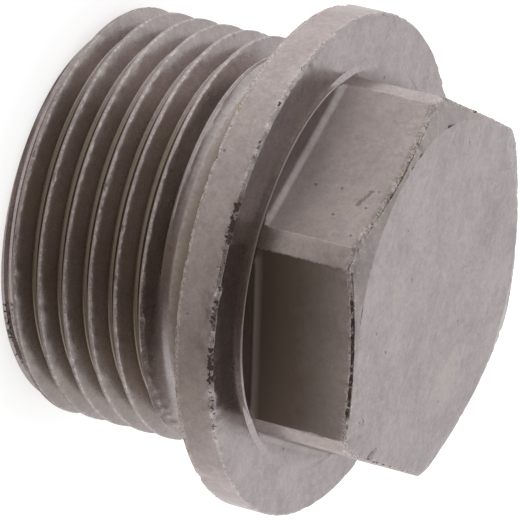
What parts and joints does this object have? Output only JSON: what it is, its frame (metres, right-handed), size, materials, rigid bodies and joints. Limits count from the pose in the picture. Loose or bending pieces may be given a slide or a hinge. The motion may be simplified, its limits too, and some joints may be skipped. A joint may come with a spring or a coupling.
{
  "type": "magnetic drain plug",
  "caption": "Hexagon head screw plug with a sealing collar and a right-hand machine thread, with a rod magnet held in the threaded end.",
  "frame": {"origin": "centre of the threaded end face, on the plug's axis, which is the lowest point of the standing plug", "axes": "+Z along the plug's axis from the threaded end to the hexagon head; -Y towards one corner of the hexagon; +X normal to one of its flats"},
  "size_m": [0.027, 0.027, 0.0203],
  "materials": {
    "plug_steel": "satin grey zinc-nickel tone over turned steel, with pits, burrs and dark marks on the edges",
    "magnet_metal": "plain satin nickel plating"
  },
  "bodies": {
    "root": {"plug_body": "plug_steel", "magnet": "magnet_metal"}
  },
  "joints": []
}
